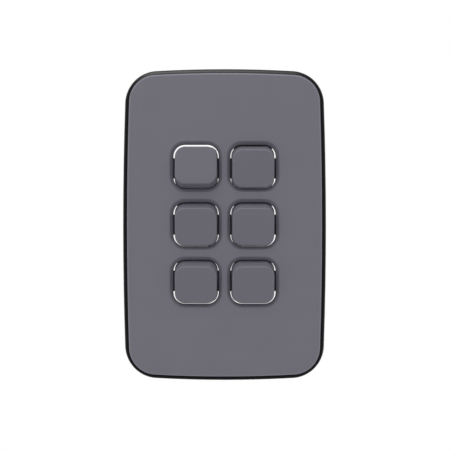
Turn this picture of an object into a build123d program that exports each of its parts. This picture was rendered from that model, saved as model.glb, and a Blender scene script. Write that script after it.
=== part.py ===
from build123d import *
import math
import os

os.makedirs("parts", exist_ok=True)

# Frame of the part: the wall is the XZ plane, +Z is up and the front faces -Y.
# A "front" or "back" is a distance from the wall towards the room, so it is negative inside the wall.

# Plate outline: bowed sides that run tangent into the corners
plate_width = 77.1
plate_height = 118.0
plate_corner = 12.6
side_bow_radius = 1360.0
end_bow_radius = 466.0

# Black base frame
frame_front = 5.2
frame_rim_round = 2.2
frame_web = 3.0
frame_ledge = 2.2
frame_pocket_web = 1.4
frame_pocket_margin = 5.0
fixing_spacing = 84.0
fixing_radius = 2.1
fixing_margin = 4.0
ear_height = 7.7
ear_front = 2.6
ear_thickness = 2.0
ear_clearance = 0.3

# Cover plate
skin_inset_side = 2.35
skin_inset_end = 2.7
skin_front = 8.7
skin_panel = 1.5
skin_skirt = 1.8
skin_edge_bevel = 0.5
skin_rib_width = 1.2
skin_rib_depth = 1.6
skin_rib_span = 56.0
hook_spacing = 40.0
hook_width = 6.0
hook_thickness = 1.4
hook_setback = 3.0
hook_barb = 0.7
hook_barb_front = 1.7
hook_tip_front = 0.6
hook_clearance = 0.4

# Gangs: two columns of three, each with an aperture that has a sloping lip and a short throat
column_spacing = 21.2
row_spacing = 21.4
rocker_drop = 0.05
window_size = 19.4
aperture_width = 16.8
aperture_height = 16.3
aperture_rise = 0.15
aperture_corner = 4.2
lip_inner_width = 0.1
lip_outer_width = 1.2
lip_outer_depth = 1.15

# Rocker
rocker_tilt = 7.5
pivot_front = 5.7
cap_front = 10.8
cap_depth = 8.1
cap_face_width = 15.4
cap_face_height = 13.8
cap_skirt_width = 16.5
cap_skirt_height = 17.4
cap_corner = 3.8
cap_wall = 1.2
cap_inner_corner = 2.0
cap_edge_bevel = 0.25
cap_rib_width = 6.0
cap_rib_depth = 2.2
cap_rib_thickness = 1.0
cap_rib_clearance = 0.05
cap_side_back = 5.0
cap_side_cut = 14.0
notch_width = 1.6
notch_depth = 1.0
pin_radius = 1.2
pin_flat = 0.3
bearing_sides = 10
pin_clearance = 0.05
block_clearance = 0.2
block_height = 6.8
block_depth = 5.2
stem_size = 4.4
stem_back = -1.0
bore_size = 2.6
bore_depth = 5.6

# Plunger and its spring
plunger_clearance = 0.1
plunger_length = 4.2
plunger_tip_back = -3.0
plunger_tip_chamfer = 0.5
spring_wire = 0.36
spring_clearance = 0.2
spring_turns = 3
spring_runs_per_turn = 4
spring_end_gap = 0.05

# Moving contact: a see-saw blade on the common terminal's fulcrum
blade_tilt = 9.0
blade_gap = 0.1
blade_thickness = 0.6
blade_width = 3.8
blade_end_clearance = 0.3
fulcrum_gap = 0.1
contact_setback = 0.1
contact_length = 2.0
contact_height = 0.5
contact_gap = 0.1

# Housing and rear cover of one mechanism
housing_width = 12.4
housing_height = 12.8
housing_front = 3.8
housing_back = -13.5
housing_wall = 1.2
shoulder_width = 1.6
cheek_thickness = 1.3
cheek_height = 5.2
cheek_rise = 0.6
lug_reach = 1.4
lug_thickness = 0.8
lug_height = 6.8
snap_reach = 0.6
snap_depth = 1.1
snap_height = 4.0
snap_clearance = 0.1
cover_thickness = 1.5
cover_spigot = 0.5
cover_clearance = 0.1
barrier_thickness = 0.4

# Terminals and their screws
terminal_length = 7.0
terminal_split = 2.3
terminal_clearance = 0.05
terminal_side_clearance = 0.4
terminal_thickness = 1.0
terminal_web = 1.4
fulcrum_width = 4.4
fulcrum_thickness = 0.7
stud_length = 2.2
screw_setback = 3.8
screw_radius = 1.0
screw_sides = 6
screw_clearance = 0.05
screw_reach = 1.8
screw_head_radius = 1.5
screw_head_sides = 8
screw_head_gap = 0.1
screw_head_height = 1.1
screw_slot_width = 0.5
screw_slot_depth = 0.5
driver_window_depth = 3.8
driver_window_margin = 0.5

# Values worked out from the sizes above
skin_width = plate_width - 2 * skin_inset_side
skin_height = plate_height - 2 * skin_inset_end
skin_corner = plate_corner - (skin_inset_side + skin_inset_end) / 2
skin_back = skin_front - skin_panel
cap_back = cap_front - cap_depth
cap_ceiling = cap_front - cap_wall
block_back = cap_ceiling - block_depth
plunger_size = bore_size - 2 * plunger_clearance
plunger_front = plunger_tip_back + plunger_length
bore_front = stem_back + bore_depth
blade_front = plunger_tip_back - blade_gap
blade_back = blade_front - blade_thickness
fulcrum_front = blade_back - fulcrum_gap
fulcrum_axis = fulcrum_front - fulcrum_thickness / 2
contact_back = blade_back - contact_height
terminal_back = housing_back + cover_spigot
terminal_front = terminal_back + terminal_length
screw_front = terminal_front - screw_setback
cavity_height = housing_height - 2 * housing_wall
cavity_width = housing_width - 2 * housing_wall
shaft_width = cavity_width - 2 * shoulder_width
block_width = housing_width - 2 * cheek_thickness - 2 * block_clearance
blade_arm = cavity_height / 2 - blade_end_clearance
contact_offset = blade_arm - contact_setback - contact_length / 2
terminal_height = (cavity_height - terminal_split) / 2 - terminal_clearance
terminal_offset = (terminal_split + terminal_height) / 2
terminal_outer_side = cavity_width / 2 - terminal_side_clearance
barrier_offset = (fulcrum_thickness + terminal_split) / 4


def front_plane(front, x=0.0, z=0.0):
    """A plane parallel to the wall, facing the room."""
    return Plane(origin=(x, -front, z), x_dir=(1, 0, 0), z_dir=(0, -1, 0))


def soft_face(front, width, height, corner):
    """A rectangle with bowed sides, whose round corners touch the side arcs and end arcs without a kink."""
    side_centre = Vector(width / 2 - side_bow_radius, 0)
    end_centre = Vector(0, height / 2 - end_bow_radius)
    side_reach = side_bow_radius - corner
    end_reach = end_bow_radius - corner
    span = end_centre - side_centre
    along = (side_reach**2 - end_reach**2 + span.length**2) / (2 * span.length)
    across = math.sqrt(side_reach**2 - along**2)
    direction = span.normalized()
    corner_centre = side_centre + direction * along + Vector(-direction.Y, direction.X) * across
    side_end = side_centre + (corner_centre - side_centre).normalized() * side_bow_radius
    top_end = end_centre + (corner_centre - end_centre).normalized() * end_bow_radius
    with BuildSketch(front_plane(front)) as outline:
        with BuildLine():
            side = ThreePointArc((side_end.X, -side_end.Y), (width / 2, 0), (side_end.X, side_end.Y))
            turn = TangentArc((side_end.X, side_end.Y), (top_end.X, top_end.Y), tangent=side % 1)
            end = ThreePointArc((top_end.X, top_end.Y), (0, height / 2), (-top_end.X, top_end.Y))
            lower_turn = mirror(turn, about=Plane.XZ)
            mirror(end, about=Plane.XZ)
            mirror(side, about=Plane.YZ)
            mirror(turn, about=Plane.YZ)
            mirror(lower_turn, about=Plane.YZ)
        make_face()
    return outline.sketch


# Base frame: a moulded web with six windows, a rounded rim and two fixing holes
with BuildPart() as base_frame:
    extrude(soft_face(0, plate_width, plate_height, plate_corner), amount=frame_front)
    # The rim's round, cut as two bevels along the chords of its arc
    chord = math.radians(22.5)
    rim_face = base_frame.faces().sort_by(Axis.Y)[0]
    chamfer(rim_face.edges(), frame_rim_round * math.tan(chord), frame_rim_round, reference=rim_face)
    rim_face = base_frame.faces().sort_by(Axis.Y)[0]
    rim_inset = frame_rim_round * (1 - math.tan(chord))
    rim_slant = frame_rim_round * (1 - math.sin(2 * chord)) / math.cos(chord)
    chamfer(rim_face.edges(), rim_inset, rim_slant, reference=rim_face)
    tray_width = skin_width - 2 * frame_ledge
    tray_height = skin_height - 2 * frame_ledge
    tray = soft_face(frame_web, tray_width, tray_height, skin_corner - frame_ledge)
    extrude(tray, amount=frame_front - frame_web, mode=Mode.SUBTRACT)
    with BuildSketch(front_plane(0, z=-rocker_drop)):
        with GridLocations(column_spacing, row_spacing, 2, 3):
            Rectangle(window_size, window_size)
    extrude(amount=frame_web, mode=Mode.SUBTRACT)
    # Ears at the middle of each window's sides carry the mechanisms
    ear_inner = housing_width / 2 + ear_clearance
    ear_outer = window_size / 2
    with BuildSketch(front_plane(ear_front - ear_thickness, z=-rocker_drop)):
        with GridLocations(column_spacing, row_spacing, 2, 3):
            with GridLocations(ear_inner + ear_outer, 0, 2, 1):
                Rectangle(ear_outer - ear_inner, ear_height)
    extrude(amount=ear_thickness)
    # Fixing holes
    with BuildSketch(front_plane(0)):
        with GridLocations(0, fixing_spacing, 1, 2):
            Circle(fixing_radius)
    extrude(amount=frame_web, mode=Mode.SUBTRACT)
    # Hollows in the back, which leave a rim and ribs
    field_height = 2 * row_spacing + window_size
    field_width = column_spacing + window_size
    end_hollow_height = (tray_height - field_height) / 2 - 2 * frame_pocket_margin
    end_hollow_width = tray_width / 2 - frame_pocket_margin - fixing_margin - plate_corner / 2
    end_hollow_offset = (field_height + end_hollow_height) / 2 + frame_pocket_margin
    end_hollow_spacing = end_hollow_width + 2 * (frame_pocket_margin + fixing_radius)
    side_hollow_width = (tray_width - field_width) / 2 - frame_pocket_margin
    side_hollow_offset = (field_width + side_hollow_width + frame_pocket_margin) / 2
    with BuildSketch(front_plane(0)):
        with GridLocations(end_hollow_spacing, 2 * end_hollow_offset, 2, 2):
            Rectangle(end_hollow_width, end_hollow_height)
        with GridLocations(2 * side_hollow_offset, 0, 2, 1):
            Rectangle(side_hollow_width, field_height)
    extrude(amount=frame_web - frame_pocket_web, mode=Mode.SUBTRACT)
    # Slots for the cover's hooks, stepped behind so that the barbs catch
    hook_outer = skin_height / 2 - skin_skirt - hook_setback
    slot_width = hook_width + 2 * hook_clearance
    slot_height = hook_thickness + hook_barb + 2 * hook_clearance
    slot_offset = hook_outer + hook_barb + hook_clearance - slot_height / 2
    with BuildSketch(front_plane(0)):
        with GridLocations(hook_spacing, 2 * slot_offset, 2, 2):
            Rectangle(slot_width, slot_height)
    extrude(amount=hook_barb_front + hook_clearance, mode=Mode.SUBTRACT)
    mouth_height = hook_thickness + 2 * hook_clearance
    with BuildSketch(front_plane(0)):
        with GridLocations(hook_spacing, 2 * hook_outer - hook_thickness, 2, 2):
            Rectangle(slot_width, mouth_height)
    extrude(amount=frame_web, mode=Mode.SUBTRACT)
base_frame.part.label = "base_frame"
export_step(base_frame.part, "parts/base_frame.step")

# Cover plate: a shell with six dished apertures, ribs and four snap hooks
with BuildPart() as cover_plate:
    extrude(soft_face(frame_front, skin_width, skin_height, skin_corner), amount=skin_front - frame_front)
    chamfer(cover_plate.edges().group_by(Axis.Y)[0], skin_edge_bevel)
    inside = soft_face(
        frame_front, skin_width - 2 * skin_skirt, skin_height - 2 * skin_skirt, skin_corner - skin_skirt
    )
    extrude(inside, amount=skin_back - frame_front, mode=Mode.SUBTRACT)
    # Each aperture widens to the front: a short steep throat, then the sloping lip
    lip_middle = skin_front - lip_outer_depth
    inner_slope = math.degrees(math.atan2(lip_inner_width, lip_middle - skin_back))
    outer_slope = math.degrees(math.atan2(lip_outer_width, lip_outer_depth))
    with BuildSketch(front_plane(skin_back, z=aperture_rise)):
        with GridLocations(column_spacing, row_spacing, 2, 3):
            RectangleRounded(aperture_width, aperture_height, aperture_corner)
    extrude(amount=lip_middle - skin_back, taper=-inner_slope, mode=Mode.SUBTRACT)
    middle_width = aperture_width + 2 * lip_inner_width
    middle_height = aperture_height + 2 * lip_inner_width
    with BuildSketch(front_plane(lip_middle, z=aperture_rise)):
        with GridLocations(column_spacing, row_spacing, 2, 3):
            RectangleRounded(middle_width, middle_height, aperture_corner + lip_inner_width)
    extrude(amount=lip_outer_depth, taper=-outer_slope, mode=Mode.SUBTRACT)
    rib_offset = row_spacing + aperture_rise + middle_height / 2 + lip_outer_width + skin_rib_width
    with BuildSketch(front_plane(skin_back - skin_rib_depth)):
        with GridLocations(0, 2 * rib_offset, 1, 2):
            Rectangle(skin_rib_span, skin_rib_width)
    extrude(amount=skin_rib_depth)
    for x in (-hook_spacing / 2, hook_spacing / 2):
        with BuildSketch(Plane.YZ.offset(x)) as hook:
            with BuildLine():
                Polyline(
                    (-skin_back, hook_outer - hook_thickness),
                    (-skin_back, hook_outer),
                    (-hook_barb_front, hook_outer),
                    (-hook_barb_front, hook_outer + hook_barb),
                    (-hook_tip_front, hook_outer),
                    (-hook_tip_front, hook_outer - hook_thickness),
                    close=True,
                )
            make_face()
            mirror(about=Plane.XZ)
        extrude(amount=hook_width / 2, both=True)
cover_plate.part.label = "cover_plate"
export_step(cover_plate.part, "parts/cover_plate.step")


def wedge(back, front, back_size, front_size):
    """A block that tapers from its back to its front; each size is a width and a height."""
    with BuildPart() as block:
        with BuildSketch(Plane.XY):
            with BuildLine():
                Polyline(
                    (-back_size[0] / 2, -back),
                    (back_size[0] / 2, -back),
                    (front_size[0] / 2, -front),
                    (-front_size[0] / 2, -front),
                    close=True,
                )
            make_face()
        extrude(amount=back_size[1], both=True)
        with BuildSketch(Plane.YZ):
            with BuildLine():
                Polyline(
                    (-back, -back_size[1] / 2),
                    (-back, back_size[1] / 2),
                    (-front, front_size[1] / 2),
                    (-front, -front_size[1] / 2),
                    close=True,
                )
            make_face()
        extrude(amount=back_size[0], both=True, mode=Mode.INTERSECT)
    return block.part


def slanted_edges(part):
    """The edges that run from the back to the front."""
    return part.edges().filter_by(lambda edge: abs(edge.tangent_at(0.5).Y) > 0.5)


# Hollow of the rocker cap, its walls parallel to the outside
ceiling_share = cap_wall / cap_depth
ceiling_width = cap_face_width + (cap_skirt_width - cap_face_width) * ceiling_share - 2 * cap_wall
ceiling_height = cap_face_height + (cap_skirt_height - cap_face_height) * ceiling_share - 2 * cap_wall
hollow_back = (cap_skirt_width - 2 * cap_wall, cap_skirt_height - 2 * cap_wall)
with BuildPart() as cap_hollow:
    add(wedge(cap_back, cap_ceiling, hollow_back, (ceiling_width, ceiling_height)))
    chamfer(slanted_edges(cap_hollow), cap_inner_corner)

# Rocker cap: a tapered shell with ribs that grip the actuator; its walls are cut back at the sides
with BuildPart() as rocker_cap:
    add(wedge(cap_back, cap_front, (cap_skirt_width, cap_skirt_height), (cap_face_width, cap_face_height)))
    fillet(slanted_edges(rocker_cap), cap_corner)
    chamfer(rocker_cap.faces().sort_by(Axis.Y)[0].edges(), cap_edge_bevel)
    add(cap_hollow.part, mode=Mode.SUBTRACT)
    # Cut-outs that leave a deep apron round each end, so that little light passes a raised end
    with BuildSketch(front_plane(cap_back)):
        Rectangle(2 * cap_skirt_width, cap_side_cut)
    extrude(amount=cap_side_back - cap_back, mode=Mode.SUBTRACT)
    rib_pitch = block_height + 2 * cap_rib_clearance + cap_rib_thickness
    with BuildSketch(front_plane(cap_ceiling - cap_rib_depth)):
        with GridLocations(0, rib_pitch, 1, 2):
            Rectangle(cap_rib_width, cap_rib_thickness)
    extrude(amount=cap_rib_depth)
    # Notch in the middle of the upper apron
    with BuildSketch(front_plane(cap_back, z=cap_skirt_height / 2)):
        Rectangle(notch_width, 4 * cap_wall)
    extrude(amount=notch_depth, mode=Mode.SUBTRACT)

# Actuator: a block under the cap, with flat-fronted trunnion pins and a bored stem
with BuildPart() as actuator:
    with BuildSketch(front_plane(block_back)):
        Rectangle(block_width, block_height)
    extrude(amount=block_depth)
    with BuildSketch(front_plane(stem_back)):
        Rectangle(stem_size, stem_size)
    extrude(amount=block_back - stem_back)
    with BuildSketch(Plane.YZ):
        with Locations((-pivot_front, 0)):
            Circle(pin_radius)
        with Locations((pin_radius - pin_flat - pivot_front, 0)):
            Rectangle(2 * pin_radius, 2 * pin_radius, mode=Mode.INTERSECT)
    extrude(amount=housing_width / 2, both=True)
    with BuildSketch(front_plane(stem_back)):
        Rectangle(bore_size, bore_size)
    extrude(amount=bore_depth, mode=Mode.SUBTRACT)

# Plunger: a square pin that slides in the stem, with a chamfered tip
with BuildPart() as plunger:
    with BuildSketch(front_plane(plunger_tip_back)):
        Rectangle(plunger_size, plunger_size)
    extrude(amount=plunger_length)
    chamfer(plunger.faces().sort_by(Axis.Y)[-1].edges(), plunger_tip_chamfer)

# Spring: a coil between the plunger and the end of the bore
coil_radius = bore_size / 2 - spring_clearance - spring_wire / 2
coil_back = plunger_front + spring_end_gap + spring_wire / 2
coil_front = bore_front - spring_end_gap - spring_wire / 2
coil_runs = spring_turns * spring_runs_per_turn
with BuildPart() as spring:
    with BuildLine() as coil:
        Polyline(
            *(
                (
                    coil_radius * math.cos(math.tau * run / spring_runs_per_turn),
                    -(coil_back + (coil_front - coil_back) * run / coil_runs),
                    coil_radius * math.sin(math.tau * run / spring_runs_per_turn),
                )
                for run in range(coil_runs + 1)
            )
        )
    with BuildSketch(Plane(origin=coil.line @ 0, z_dir=coil.line % 0)):
        Rectangle(spring_wire, spring_wire)
    sweep(transition=Transition.RIGHT)

# Moving contact: a flat blade with a contact near the end of its upper arm
with BuildPart() as moving_contact:
    with BuildSketch(front_plane(blade_back)):
        Rectangle(blade_width, 2 * blade_arm)
    extrude(amount=blade_thickness)
    with BuildSketch(front_plane(contact_back, z=contact_offset)):
        Rectangle(contact_length, contact_length)
    extrude(amount=contact_height)

# Housing: a box with a narrow shaft in front of a wider terminal chamber, and two bearing cheeks
with BuildPart() as housing:
    with BuildSketch(front_plane(housing_back)):
        Rectangle(housing_width, housing_height)
    extrude(amount=housing_front - housing_back)
    with BuildSketch(front_plane(housing_back)):
        Rectangle(cavity_width, cavity_height)
    extrude(amount=terminal_front - housing_back, mode=Mode.SUBTRACT)
    with BuildSketch(front_plane(terminal_front)):
        Rectangle(shaft_width, cavity_height)
    extrude(amount=housing_front - terminal_front, mode=Mode.SUBTRACT)
    with BuildSketch(front_plane(housing_front)):
        with GridLocations(housing_width - cheek_thickness, 0, 2, 1):
            Rectangle(cheek_thickness, cheek_height)
    extrude(amount=pivot_front + cheek_rise - housing_front)
    # Open bearings: the pins snap in from the front
    with BuildSketch(Plane.YZ):
        with Locations((-pivot_front, 0)):
            RegularPolygon(pin_radius + pin_clearance, bearing_sides, major_radius=False)
    extrude(amount=housing_width / 2, both=True, mode=Mode.SUBTRACT)
    # Lugs in front of the frame's ears and snaps behind them
    with BuildSketch(front_plane(ear_front)):
        Rectangle(housing_width + 2 * lug_reach, lug_height)
        Rectangle(housing_width, lug_height, mode=Mode.SUBTRACT)
    extrude(amount=lug_thickness)
    snap_front = ear_front - ear_thickness - snap_clearance
    with BuildSketch(Plane.XY):
        with BuildLine():
            Polyline(
                (housing_width / 2, -snap_front),
                (housing_width / 2 + snap_reach, -snap_front),
                (housing_width / 2, snap_depth - snap_front),
                close=True,
            )
        make_face()
        mirror(about=Plane.YZ)
    extrude(amount=snap_height / 2, both=True)
    # Opening in the outer side for the screwdriver
    with BuildSketch(Plane.YZ.offset(-housing_width / 2)):
        with Locations((-screw_front, 0)):
            Rectangle(driver_window_depth, cavity_height - 2 * driver_window_margin)
    extrude(amount=housing_wall, mode=Mode.SUBTRACT)

# Rear cover: closes the housing, with a barrier between the terminals
with BuildPart() as rear_cover:
    with BuildSketch(front_plane(housing_back - cover_thickness)):
        Rectangle(housing_width, housing_height)
    extrude(amount=cover_thickness)
    with BuildSketch(front_plane(housing_back)):
        Rectangle(cavity_width - 2 * cover_clearance, cavity_height - 2 * cover_clearance)
    extrude(amount=cover_spigot)
    with BuildSketch(front_plane(terminal_back, z=barrier_offset)):
        Rectangle(cavity_width - 2 * cover_clearance, barrier_thickness)
    extrude(amount=terminal_length - cover_clearance)

# Common terminal: a bent brass strip from the side plate, under its screw, to the round-edged fulcrum
plate_middle = terminal_thickness / 2 - terminal_outer_side
plate_end = fulcrum_width / 2
web_length = terminal_outer_side + plate_end
web_middle = (plate_end - terminal_outer_side) / 2
web_back = terminal_front - terminal_web
with BuildPart() as common_terminal:
    with BuildSketch(front_plane(terminal_back, x=plate_middle, z=-terminal_offset)):
        Rectangle(terminal_thickness, terminal_height)
    extrude(amount=terminal_length)
    with BuildSketch(front_plane(web_back, x=web_middle, z=-terminal_offset)):
        Rectangle(web_length, terminal_height)
    extrude(amount=terminal_web)
    bridge_start = terminal_height / 2 - terminal_offset
    bridge_end = fulcrum_thickness / 2
    with BuildSketch(front_plane(web_back, z=(bridge_start + bridge_end) / 2)):
        Rectangle(fulcrum_width, bridge_end - bridge_start)
    extrude(amount=terminal_web)
    with BuildSketch(front_plane(terminal_front)):
        Rectangle(fulcrum_width, fulcrum_thickness)
    extrude(amount=fulcrum_axis - terminal_front)
    with BuildSketch(Plane.YZ):
        with Locations((-fulcrum_axis, 0)):
            Circle(fulcrum_thickness / 2)
    extrude(amount=fulcrum_width / 2, both=True)
    with BuildSketch(Plane.YZ.offset(-terminal_outer_side)):
        with Locations((-screw_front, -terminal_offset)):
            RegularPolygon(screw_radius + screw_clearance, screw_sides)
    extrude(amount=terminal_thickness, mode=Mode.SUBTRACT)

# Switched terminal: the same strip with the fixed contact on its front
blade_turn = math.radians(blade_tilt)
contact_drop = (fulcrum_axis - contact_back) * math.cos(blade_turn)
contact_drop += (contact_offset + contact_length / 2) * math.sin(blade_turn)
stud_front = fulcrum_axis - contact_drop - contact_gap
with BuildPart() as switched_terminal:
    with BuildSketch(front_plane(terminal_back, x=plate_middle, z=terminal_offset)):
        Rectangle(terminal_thickness, terminal_height)
    extrude(amount=terminal_length)
    with BuildSketch(front_plane(web_back, x=web_middle, z=terminal_offset)):
        Rectangle(web_length, terminal_height)
    extrude(amount=terminal_web)
    with BuildSketch(front_plane(terminal_front, z=contact_offset)):
        Rectangle(stud_length, stud_length)
    extrude(amount=stud_front - terminal_front)
    with BuildSketch(Plane.YZ.offset(-terminal_outer_side)):
        with Locations((-screw_front, terminal_offset)):
            RegularPolygon(screw_radius + screw_clearance, screw_sides)
    extrude(amount=terminal_thickness, mode=Mode.SUBTRACT)

# Terminal screw: its shank runs along X through the strip, with a slotted head outside
head_inner = -terminal_outer_side - screw_head_gap
head_outer = head_inner - screw_head_height
with BuildPart() as terminal_screw:
    with BuildSketch(Plane.YZ.offset(head_inner)):
        with Locations((-screw_front, 0)):
            RegularPolygon(screw_radius, screw_sides)
    extrude(amount=screw_reach)
    with BuildSketch(Plane.YZ.offset(head_outer)):
        with Locations((-screw_front, 0)):
            RegularPolygon(screw_head_radius, screw_head_sides)
    extrude(amount=screw_head_height)
    with BuildSketch(Plane.YZ.offset(head_outer)):
        with Locations((-screw_front, 0)):
            Rectangle(2 * screw_head_radius, screw_slot_width)
    extrude(amount=screw_slot_depth, mode=Mode.SUBTRACT)

# Places of the gangs; in the one that is switched off the upper end is pressed in
rows = {"top": 1, "middle": 0, "bottom": -1}
columns = {"left": -1, "right": 1}
gangs_off = ("top_left",)
rocker_axis = Axis((0, -pivot_front, 0), (1, 0, 0))
blade_axis = Axis((0, -fulcrum_axis, 0), (1, 0, 0))
turning_with_rocker = {
    "rocker_cap": rocker_cap.part,
    "actuator": actuator.part,
    "plunger": plunger.part,
    "spring": spring.part,
}
turning_with_blade = {"moving_contact": moving_contact.part}
standing_still = {
    "housing": housing.part,
    "rear_cover": rear_cover.part,
    "common_terminal": common_terminal.part,
    "switched_terminal": switched_terminal.part,
}


def in_gang(piece, column, row):
    """A copy of the piece in its gang; the right column mirrors the left one."""
    if column > 0:
        piece = piece.mirror(Plane.YZ)
    return piece.moved(Location((column * column_spacing / 2, 0, row * row_spacing - rocker_drop)))


# Six copies of each mechanism
for row_name, row in rows.items():
    for column_name, column in columns.items():
        gang = f"{row_name}_{column_name}"
        lean = -1 if gang in gangs_off else 1
        pieces = dict(standing_still)
        for kind, piece in turning_with_rocker.items():
            pieces[kind] = piece.rotate(rocker_axis, lean * rocker_tilt)
        for kind, piece in turning_with_blade.items():
            pieces[kind] = piece.rotate(blade_axis, -lean * blade_tilt)
        for kind, piece in pieces.items():
            copy = in_gang(piece, column, row)
            copy.label = f"{kind}_{gang}"
            export_step(copy, f"parts/{kind}_{gang}.step")

# Terminal screws: one group of identical screws
with BuildPart() as terminal_screws:
    for row in rows.values():
        for column in columns.values():
            for side in (-1, 1):
                screw = terminal_screw.part.moved(Location((0, 0, side * terminal_offset)))
                add(in_gang(screw, column, row))
terminal_screws.part.label = "terminal_screws"
export_step(terminal_screws.part, "parts/terminal_screws.step")
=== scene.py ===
import math

import bmesh
import bpy
from mathutils import Matrix, Vector


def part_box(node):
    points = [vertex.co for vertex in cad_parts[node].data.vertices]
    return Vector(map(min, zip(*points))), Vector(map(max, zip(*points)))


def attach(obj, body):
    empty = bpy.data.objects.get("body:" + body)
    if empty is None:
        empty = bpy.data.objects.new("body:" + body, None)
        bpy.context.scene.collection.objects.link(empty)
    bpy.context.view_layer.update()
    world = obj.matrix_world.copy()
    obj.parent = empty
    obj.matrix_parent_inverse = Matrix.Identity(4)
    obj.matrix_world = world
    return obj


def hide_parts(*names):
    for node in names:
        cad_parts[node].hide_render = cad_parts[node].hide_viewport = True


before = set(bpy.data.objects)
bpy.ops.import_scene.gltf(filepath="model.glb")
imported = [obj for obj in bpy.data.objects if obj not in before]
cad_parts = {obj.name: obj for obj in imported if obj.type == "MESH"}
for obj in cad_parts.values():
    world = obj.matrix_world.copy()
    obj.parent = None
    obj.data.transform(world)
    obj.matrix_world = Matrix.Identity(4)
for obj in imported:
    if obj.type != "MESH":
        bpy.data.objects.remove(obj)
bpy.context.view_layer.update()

# Base frame: the tray that screws to the wall box; only its rounded rim shows round the cover plate.
# Injection-moulded black thermoplastic with a satin, spark-eroded surface.
# Six windows with ears at their sides take the switch mechanisms, and the cover hooks into four slots.
mm = 0.001
rim_round = 0.7 * mm
rim_foot = -2.9 * mm
same_point, sliver, same_plane = 0.001 * mm, 0.0001 * mm, 0.002


def turns(edge, least, most):
    """Whether the two faces at an edge meet at an angle between these limits, in degrees."""
    return math.radians(least) < edge.calc_face_angle(0.0) < math.radians(most)


def rim_edge(edge):
    """An edge along the rim's round."""
    return turns(edge, 15, 60) and all(v.co.y < rim_foot for v in edge.verts)


def soften(form):
    """Smooth shading, broken only at the sharp edges."""
    sharp = math.radians(35)
    for face in form.faces:
        face.smooth = True
    for edge in form.edges:
        edge.smooth = edge.calc_face_angle(0.0) < sharp


def finished(name, form):
    """The object made from a form, with its place in its mesh."""
    mesh = bpy.data.meshes.new(name)
    form.to_mesh(mesh)
    form.free()
    piece = bpy.data.objects.new(name, mesh)
    bpy.context.scene.collection.objects.link(piece)
    return piece


def eased_copy(name, node, picked, radius, steps):
    """A copy of a moulded piece whose picked edges are rounded, as the mould leaves them."""
    form = bmesh.new()
    form.from_mesh(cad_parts[node].data)
    bmesh.ops.remove_doubles(form, verts=form.verts[:], dist=same_point)
    bmesh.ops.dissolve_limit(form, angle_limit=same_plane, verts=form.verts[:], edges=form.edges[:])
    bmesh.ops.bevel(form, geom=[edge for edge in form.edges if edge.is_manifold and picked(edge)],
                    offset=radius, affect="EDGES", segments=steps, profile=0.5, material=-1)
    bmesh.ops.dissolve_degenerate(form, dist=sliver, edges=form.edges[:])
    soften(form)
    piece = finished(name, form)
    even = piece.modifiers.new("even_shading", "WEIGHTED_NORMAL")
    even.keep_sharp = True
    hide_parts(node)
    return piece


def add_node(tree, kind, values=(), **settings):
    """A shader node with its settings and the values of its inputs."""
    node = tree.nodes.new(kind)
    for setting, choice in settings.items():
        setattr(node, setting, choice)
    for socket, value in dict(values).items():
        node.inputs[socket].default_value = value
    return node


def join(tree, *links):
    """Links between shader nodes, each from an output to an input."""
    for source, output, target, socket in links:
        tree.links.new(source.outputs[output], target.inputs[socket])


def tint(colour, factor):
    """A colour made darker or paler."""
    return (*(min(1.0, factor * c) for c in colour), 1)


def moulded_plastic(name, colour, gloss, grain_size, grain_depth, specular):
    """Plastic with the mould's grain: a fine bump, a faint mottle and an uneven gloss."""
    tone_spread, gloss_spread = 0.04, 0.06
    finish = bpy.data.materials.new(name)
    finish.use_nodes = True
    tree = finish.node_tree
    shader = tree.nodes["Principled BSDF"]
    shader.inputs["Specular IOR Level"].default_value = specular
    place = add_node(tree, "ShaderNodeTexCoord")
    mottle = add_node(tree, "ShaderNodeTexNoise", {"Scale": 90.0, "Detail": 3.0})
    tone = add_node(tree, "ShaderNodeMix", {"A": tint(colour, 1 - tone_spread),
                                            "B": tint(colour, 1 + tone_spread)}, data_type="RGBA")
    grain = add_node(tree, "ShaderNodeTexNoise", {"Scale": 1 / grain_size, "Detail": 2.0})
    polish = add_node(tree, "ShaderNodeMapRange", {"To Min": gloss - gloss_spread,
                                                   "To Max": gloss + gloss_spread})
    relief = add_node(tree, "ShaderNodeBump", {"Strength": 0.6, "Distance": grain_depth})
    join(tree, (place, "Object", mottle, "Vector"), (place, "Object", grain, "Vector"),
         (mottle, "Fac", tone, "Factor"), (tone, "Result", shader, "Base Color"),
         (grain, "Fac", polish, "Value"), (polish, "Result", shader, "Roughness"),
         (grain, "Fac", relief, "Height"), (relief, "Normal", shader, "Normal"))
    return finish


frame_plastic = moulded_plastic("frame_plastic", colour=(0.004, 0.004, 0.005), gloss=0.4,
                                grain_size=0.12 * mm, grain_depth=0.003 * mm, specular=0.06)
rim_frame = eased_copy("rim_frame", "base_frame", rim_edge, rim_round, steps=4)
rim_frame.data.materials.append(frame_plastic)
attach(rim_frame, "plate")

# Housings: the six square boxes that hold the switch mechanisms, each snapped over the frame's ears.
# Moulded in black flame-retardant thermoplastic, duller than the frame, with eased outer edges.
# Two cheeks at the front carry the rocker's pins, and the outer side is open to the terminal screws.
gangs = [f"{row}_{column}" for row in ("top", "middle", "bottom") for column in ("left", "right")]
box_round = 0.15 * mm
cheek_foot = -2.5 * mm
shown_length = 2.0 * mm


def box_edge(edge):
    """A long outer edge of a moulded box, behind its bearing cheeks."""
    behind = all(v.co.y > cheek_foot for v in edge.verts)
    return behind and edge.is_convex and turns(edge, 60, 180) and edge.calc_length() > shown_length


housing_plastic = moulded_plastic("housing_plastic", colour=(0.014, 0.014, 0.015), gloss=0.55,
                                  grain_size=0.2 * mm, grain_depth=0.008 * mm, specular=0.4)
for gang in gangs:
    switch_box = eased_copy(f"switch_box_{gang}", f"housing_{gang}", box_edge, box_round, steps=2)
    switch_box.data.materials.append(housing_plastic)
    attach(switch_box, "plate")

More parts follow.
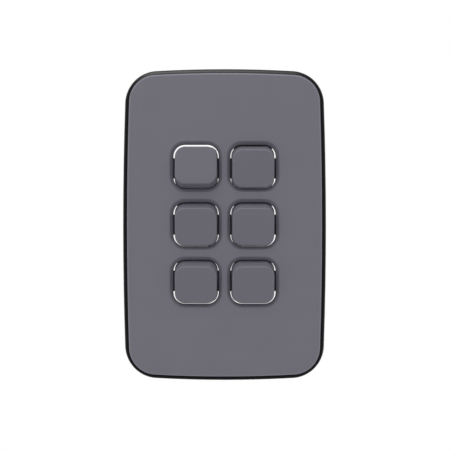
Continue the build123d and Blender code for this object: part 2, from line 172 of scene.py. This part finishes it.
# Rear covers: the lids that close the housings behind, with a barrier between the two terminals.
# Moulded in a dark grey thermoplastic and pressed into the housing's open back.
cover_plastic = moulded_plastic("rear_cover_plastic", colour=(0.03, 0.03, 0.033), gloss=0.58,
                                grain_size=0.2 * mm, grain_depth=0.008 * mm, specular=0.4)
for gang in gangs:
    back_lid = eased_copy(f"back_lid_{gang}", f"rear_cover_{gang}", box_edge, box_round, steps=2)
    back_lid.data.materials.append(cover_plastic)
    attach(back_lid, "plate")

# Terminals: in each housing one strip carries the see-saw's fulcrum and one the fixed contact.
# Stamped and bent from brass sheet, so fine rolling lines run along it and the surface is slightly dulled.


def rolled_metal(name, colour, gloss, line_size, stretch):
    """Sheet metal with rolling lines, a slight tarnish and an uneven gloss."""
    gloss_spread = 0.1
    tarnished, bright = 0.8, 1.1
    finish = bpy.data.materials.new(name)
    finish.use_nodes = True
    tree = finish.node_tree
    shader = tree.nodes["Principled BSDF"]
    shader.inputs["Metallic"].default_value = 1.0
    place = add_node(tree, "ShaderNodeTexCoord")
    turn = add_node(tree, "ShaderNodeMapping", {"Scale": stretch})
    lines = add_node(tree, "ShaderNodeTexNoise", {"Scale": 1 / line_size, "Detail": 3.0})
    tarnish = add_node(tree, "ShaderNodeTexNoise", {"Scale": 400.0})
    tone = add_node(tree, "ShaderNodeMix", {"A": tint(colour, tarnished), "B": tint(colour, bright)},
                    data_type="RGBA")
    polish = add_node(tree, "ShaderNodeMapRange", {"To Min": gloss - gloss_spread,
                                                   "To Max": gloss + gloss_spread})
    relief = add_node(tree, "ShaderNodeBump", {"Strength": 0.4, "Distance": 0.004 * mm})
    join(tree, (place, "Object", turn, "Vector"), (turn, "Vector", lines, "Vector"),
         (place, "Object", tarnish, "Vector"), (tarnish, "Fac", tone, "Factor"),
         (tone, "Result", shader, "Base Color"), (lines, "Fac", polish, "Value"),
         (polish, "Result", shader, "Roughness"), (lines, "Fac", relief, "Height"),
         (relief, "Normal", shader, "Normal"))
    return finish


brass = rolled_metal("terminal_brass", colour=(0.62, 0.43, 0.17), gloss=0.34, line_size=0.08 * mm,
                     stretch=(1.0, 0.08, 1.0))
for gang in gangs:
    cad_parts[f"common_terminal_{gang}"].material_slots[0].material = brass
    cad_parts[f"switched_terminal_{gang}"].material_slots[0].material = brass

# Terminal screws: twelve slotted cheese-head screws that clamp the wires on the brass strips.
# Turned from steel with an eased rim, sawn across the head for the screwdriver, and zinc-plated.
head_radius, head_height, rim_ease = 1.45 * mm, 1.1 * mm, 0.2 * mm
slot_width, slot_depth = 0.5 * mm, 0.5 * mm
shank_radius, shank_length = 0.95 * mm, 1.8 * mm
lathe_steps = 32
end_to_screw = 2.0 * mm
clamp_gap = 0.1 * mm
hair = 0.01 * mm

turned = bmesh.new()
outline = [turned.verts.new((radius, 0, height)) for radius, height in (
    (0, -shank_length), (shank_radius, -shank_length), (shank_radius, 0),
    (head_radius, 0), (head_radius, head_height), (0, head_height))]
outline += [turned.edges.new(pair) for pair in zip(outline, outline[1:])]
bmesh.ops.spin(turned, geom=outline, cent=(0, 0, 0), axis=(0, 0, 1), angle=math.radians(360),
               steps=lathe_steps, use_merge=True)
bmesh.ops.remove_doubles(turned, verts=turned.verts[:], dist=same_point)
bmesh.ops.recalc_face_normals(turned, faces=turned.faces[:])
rim = [edge for edge in turned.edges
       if all(v.co.z > head_height - hair and v.co.xy.length > head_radius - hair for v in edge.verts)]
bmesh.ops.bevel(turned, geom=rim, offset=rim_ease, affect="EDGES", segments=3, profile=0.5, material=-1)

half_slot, slot_floor = slot_width / 2, head_height - slot_depth
for point, across in (((0, half_slot, 0), (0, 1, 0)), ((0, -half_slot, 0), (0, 1, 0)),
                      ((0, 0, slot_floor), (0, 0, 1))):
    bmesh.ops.bisect_plane(turned, geom=turned.verts[:] + turned.edges[:] + turned.faces[:],
                           dist=sliver, plane_co=point, plane_no=across)
sawn = [face for face in turned.faces if face.calc_center_median().z > slot_floor
        and abs(face.calc_center_median().y) < half_slot]
bmesh.ops.delete(turned, geom=sawn, context="FACES")
lips = [v for v in turned.verts if v.is_boundary]
slot_walls = ([v for v in lips if v.co.y > half_slot - hair],
              [v for v in lips if v.co.y < hair - half_slot],
              [v for v in lips if v.co.z < slot_floor + hair])
for wall in slot_walls:
    bmesh.ops.contextual_create(turned, geom=wall)
top = [v for v in turned.verts if v.co.z > head_height - hair]
top_edges = [edge for edge in turned.edges if all(v in top for v in edge.verts)]
bmesh.ops.dissolve_limit(turned, angle_limit=same_plane, verts=top, edges=top_edges)
bmesh.ops.recalc_face_normals(turned, faces=turned.faces[:])
soften(turned)
screw_mesh = bpy.data.meshes.new("screw_form")
turned.to_mesh(screw_mesh)
turned.free()

row_low, row_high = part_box("terminal_screws")
screw_set = bmesh.new()
for gang in gangs:
    strip_low, strip_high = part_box(f"common_terminal_{gang}")
    fixed_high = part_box(f"switched_terminal_{gang}")[1]
    outward = -1 if gang.endswith("left") else 1
    seat = strip_low.x if outward < 0 else strip_high.x
    aim = Matrix.Rotation(outward * math.radians(90), 4, "Y")
    for height in (strip_low.z + end_to_screw, fixed_high.z - end_to_screw):
        spot = Vector((seat + outward * clamp_gap, (row_low.y + row_high.y) / 2, height))
        fresh = len(screw_set.verts)
        screw_set.from_mesh(screw_mesh)
        screw_set.verts.ensure_lookup_table()
        bmesh.ops.transform(screw_set, matrix=Matrix.Translation(spot) @ aim,
                            verts=screw_set.verts[fresh:])
slotted_screws = finished("slotted_screws", screw_set)
slotted_screws.data.materials.append(
    rolled_metal("zinc_plate", colour=(0.6, 0.6, 0.61), gloss=0.3, line_size=0.15 * mm,
                 stretch=(1.0, 1.0, 1.0)))
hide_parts("terminal_screws")
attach(slotted_screws, "plate")

# Moving contacts: the see-saw blades that tip on the fulcrum and make or break the circuit.
# Stamped from copper alloy sheet with a contact button at one end.
copper = rolled_metal("contact_copper", colour=(0.66, 0.34, 0.2), gloss=0.36, line_size=0.08 * mm,
                      stretch=(1.0, 1.0, 0.08))
for gang in gangs:
    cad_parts[f"moving_contact_{gang}"].material_slots[0].material = copper

# Coil springs: one in each actuator's stem, which pushes the plunger on the see-saw blade.
# Wound from drawn spring steel wire on a round mandrel.
wire_radius, wire_sides = 0.18 * mm, 8
coil_radius, coil_turns, steps_per_turn = 0.9 * mm, 5, 24
length_share = 0.9
rocker_tilt = math.radians(7.5)


def lean_of(gang):
    """A rocker's lean at rest: only the top-left one has its upper end pressed in."""
    return -rocker_tilt if gang == "top_left" else rocker_tilt


spring_steel = rolled_metal("spring_wire", colour=(0.5, 0.5, 0.51), gloss=0.3, line_size=0.05 * mm,
                            stretch=(1.0, 1.0, 1.0))
quarter_turn = Matrix.Rotation(math.radians(90), 4, "X")
coil_steps = steps_per_turn * coil_turns
for gang in gangs:
    low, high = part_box(f"spring_{gang}")
    length = (high.y - low.y) * length_share - 2 * wire_radius
    coil = bmesh.new()
    bmesh.ops.create_circle(coil, cap_ends=False, radius=wire_radius, segments=wire_sides,
                            matrix=Matrix.Translation((coil_radius, 0, 0)) @ quarter_turn)
    bmesh.ops.spin(coil, geom=coil.verts[:] + coil.edges[:], cent=(0, 0, 0), axis=(0, 0, 1),
                   dvec=(0, 0, length / coil_steps), angle=math.radians(360) * coil_turns,
                   steps=coil_steps, use_merge=False)
    bmesh.ops.holes_fill(coil, edges=[edge for edge in coil.edges if edge.is_boundary])
    bmesh.ops.recalc_face_normals(coil, faces=coil.faces[:])
    place = Matrix.Translation((low + high) / 2) @ Matrix.Rotation(lean_of(gang), 4, "X")
    stand = quarter_turn @ Matrix.Translation((0, 0, -length / 2))
    bmesh.ops.transform(coil, matrix=place @ stand, verts=coil.verts[:])
    for face in coil.faces:
        face.smooth = True
    coil_spring = finished(f"coil_spring_{gang}", coil)
    coil_spring.data.materials.append(spring_steel)
    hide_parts(f"spring_{gang}")
    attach(coil_spring, f"rocker_{gang}")

# Plungers: the sliding pins at the end of the stems, which run to and fro on the see-saw blades.
# Moulded in natural nylon, smooth where it slides.
plunger_nylon = moulded_plastic("plunger_nylon", colour=(0.62, 0.6, 0.54), gloss=0.35,
                                grain_size=0.3 * mm, grain_depth=0.003 * mm, specular=0.5)
for gang in gangs:
    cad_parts[f"plunger_{gang}"].material_slots[0].material = plunger_nylon

# Actuators: the blocks under the rocker caps, with two trunnion pins that turn in the housing's cheeks.
# Moulded in white nylon, and clipped in the cap's two ribs.
actuator_nylon = moulded_plastic("actuator_nylon", colour=(0.74, 0.72, 0.66), gloss=0.45,
                                 grain_size=0.3 * mm, grain_depth=0.004 * mm, specular=0.5)
for gang in gangs:
    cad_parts[f"actuator_{gang}"].material_slots[0].material = actuator_nylon

# Rocker caps: six square buttons; the top-left one has its upper end pressed in, the rest their lower end.
# Moulded in anthracite thermoplastic with a fine satin grain, and clipped on the actuators from the front.
# The lower apron's back edge is cut at a slant, so a thread of light shows under a pressed lower end.
cap_round = 0.12 * mm
slant_length, slant_depth = 1.2 * mm, 0.3 * mm


def cap_edge(edge):
    """An edge of the bevel between the cap's face and its walls."""
    return edge.is_convex and turns(edge, 25, 56)


def pare_apron(button, facing):
    """The outer back edge of the lower apron is cut away at a slant."""
    down = Vector((0, -facing.z, facing.y))
    form = bmesh.new()
    form.from_mesh(button.data)
    back = min(v.co.dot(facing) for v in form.verts)
    reach = max(v.co.dot(down) for v in form.verts if v.co.dot(facing) < back + hair)
    bmesh.ops.bisect_plane(form, geom=form.verts[:] + form.edges[:] + form.faces[:], dist=sliver,
                           plane_co=facing * back + down * (reach - slant_depth),
                           plane_no=down * slant_length - facing * slant_depth, clear_outer=True)
    bmesh.ops.holes_fill(form, edges=[edge for edge in form.edges if edge.is_boundary])
    soften(form)
    form.to_mesh(button.data)
    form.free()


def painted_edge_highlight(piece, finish, facing, faces):
    """The rounded edges among these faces get a paler colour, a painted highlight for the light the bevels
    catch.
    """
    flattest, steepest = math.radians(12), math.radians(76)
    piece.data.materials.append(finish)
    for face in faces:
        if flattest < face.normal.angle(facing) < steepest:
            face.material_index = 1


cap_plastic = moulded_plastic("rocker_plastic", colour=(0.138, 0.135, 0.161), gloss=0.5,
                              grain_size=0.1 * mm, grain_depth=0.003 * mm, specular=0.08)
# A paler, glossier copy of the cap plastic for the edge bevels: a painted highlight.
cap_painted_highlight = moulded_plastic("rocker_painted_highlight", colour=(0.152, 0.149, 0.178), gloss=0.7,
                                   grain_size=0.1 * mm, grain_depth=0.003 * mm, specular=0.1)
for gang in gangs:
    lean = lean_of(gang)
    facing = Vector((0, -math.cos(lean), -math.sin(lean)))
    button = eased_copy(f"rocker_button_{gang}", f"rocker_cap_{gang}", cap_edge, cap_round, steps=3)
    pare_apron(button, facing)
    button.data.materials.append(cap_plastic)
    # The caps' edge bevels get the paler colour: a painted highlight.
    painted_edge_highlight(button, cap_painted_highlight, facing, button.data.polygons)
    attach(button, f"rocker_{gang}")

# Cover plate: the visible skin, with six dished openings for the rockers and four hooks behind.
# Moulded in anthracite thermoplastic, with the same satin grain as the caps and a slightly lighter tone.
skin_round = 0.2 * mm
lip_foot, bevel_foot = -8.19 * mm, -8.0 * mm
openings_half_width, openings_half_height = 25 * mm, 40 * mm


def skin_edge(edge):
    """The edges of the outer bevel and the outer edge of each lip."""
    return turns(edge, 20, 60) and all(v.co.y < lip_foot for v in edge.verts)


def at_rim(spot):
    """A place on the outer bevel, well outside the openings."""
    outside = abs(spot.x) > openings_half_width or abs(spot.z) > openings_half_height
    return outside and spot.y < bevel_foot


skin_plastic = moulded_plastic("skin_plastic", colour=(0.15, 0.147, 0.175), gloss=0.5,
                               grain_size=0.1 * mm, grain_depth=0.003 * mm, specular=0.08)
# A paler, glossier copy of the skin plastic for the outer bevel: a painted highlight.
skin_painted_highlight = moulded_plastic("skin_painted_highlight", colour=(0.19, 0.186, 0.222), gloss=0.7,
                                    grain_size=0.1 * mm, grain_depth=0.003 * mm, specular=0.1)
skin = eased_copy("skin", "cover_plate", skin_edge, skin_round, steps=3)
skin.data.materials.append(skin_plastic)
# The outer bevel's faces get the paler colour: a painted highlight.
painted_edge_highlight(skin, skin_painted_highlight, Vector((0, -1, 0)),
             [face for face in skin.data.polygons if at_rim(face.center)])
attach(skin, "plate")

# Studio: a pale painted floor below the plate, a large soft lamp overhead and a smaller one that only adds
# sheen. An even sky gives the rest of the light, and shows as plain white behind the plate and through
# its gaps. The camera stands straight in front of the plate, just above its middle.
floor_half, floor_middle = 0.4, (0, -0.2, -0.18)
floor_form = bmesh.new()
bmesh.ops.create_grid(floor_form, x_segments=1, y_segments=1, size=floor_half,
                      matrix=Matrix.Translation(floor_middle))
floor = finished("floor", floor_form)
floor.data.materials.append(
    moulded_plastic("floor_paint", colour=(0.8, 0.8, 0.8), gloss=0.7, grain_size=2.0 * mm,
                    grain_depth=0.02 * mm, specular=0.2))

sky = bpy.data.worlds.new("sky")
bpy.context.scene.world = sky
sky.use_nodes = True
sky_tree = sky.node_tree
sky_tree.nodes.clear()
white = (1.0, 1.0, 1.0, 1)
ray = add_node(sky_tree, "ShaderNodeLightPath")
seen = add_node(sky_tree, "ShaderNodeMath", operation="MAXIMUM")
mirrored = add_node(sky_tree, "ShaderNodeMath", operation="MAXIMUM")
soft = add_node(sky_tree, "ShaderNodeBackground", {"Color": white, "Strength": 0.87})
plain = add_node(sky_tree, "ShaderNodeBackground", {"Color": white, "Strength": 1.0})
choice = add_node(sky_tree, "ShaderNodeMixShader")
dome = add_node(sky_tree, "ShaderNodeOutputWorld")
join(sky_tree, (ray, "Is Camera Ray", seen, 0), (ray, "Is Glossy Ray", seen, 1),
     (seen, "Value", mirrored, 0), (ray, "Is Transmission Ray", mirrored, 1),
     (mirrored, "Value", choice, "Fac"), (soft, "Background", choice, 1),
     (plain, "Background", choice, 2), (choice, "Shader", dome, "Surface"))

for name, spot, size, power, sheen_only in (
    ("key_lamp", (-0.3, -0.6, 1.2), 1.2, 6.5, False),
    ("top_lamp", (-0.1, -0.25, 0.7), 0.5, 20.0, True),
):
    lamp = bpy.data.lights.new(name, "AREA")
    lamp.size = size
    lamp.energy = power
    stand = bpy.data.objects.new(name, lamp)
    stand.visible_diffuse = not sheen_only
    stand.location = spot
    stand.rotation_euler = (-Vector(spot)).to_track_quat("-Z", "Y").to_euler()
    bpy.context.scene.collection.objects.link(stand)

eye = bpy.data.cameras.new("eye")
eye.lens = 50.0
eye.sensor_width = 36.0
eye.clip_start = 0.01
eye.shift_x = 0.001
eye.shift_y = -0.0245
viewer = bpy.data.objects.new("eye", eye)
viewer.location = (0.0, -0.240, 0.004)
viewer.rotation_euler = (math.radians(90), 0, 0)
bpy.context.scene.collection.objects.link(viewer)
bpy.context.scene.camera = viewer
bpy.context.scene.view_settings.view_transform = "Standard"
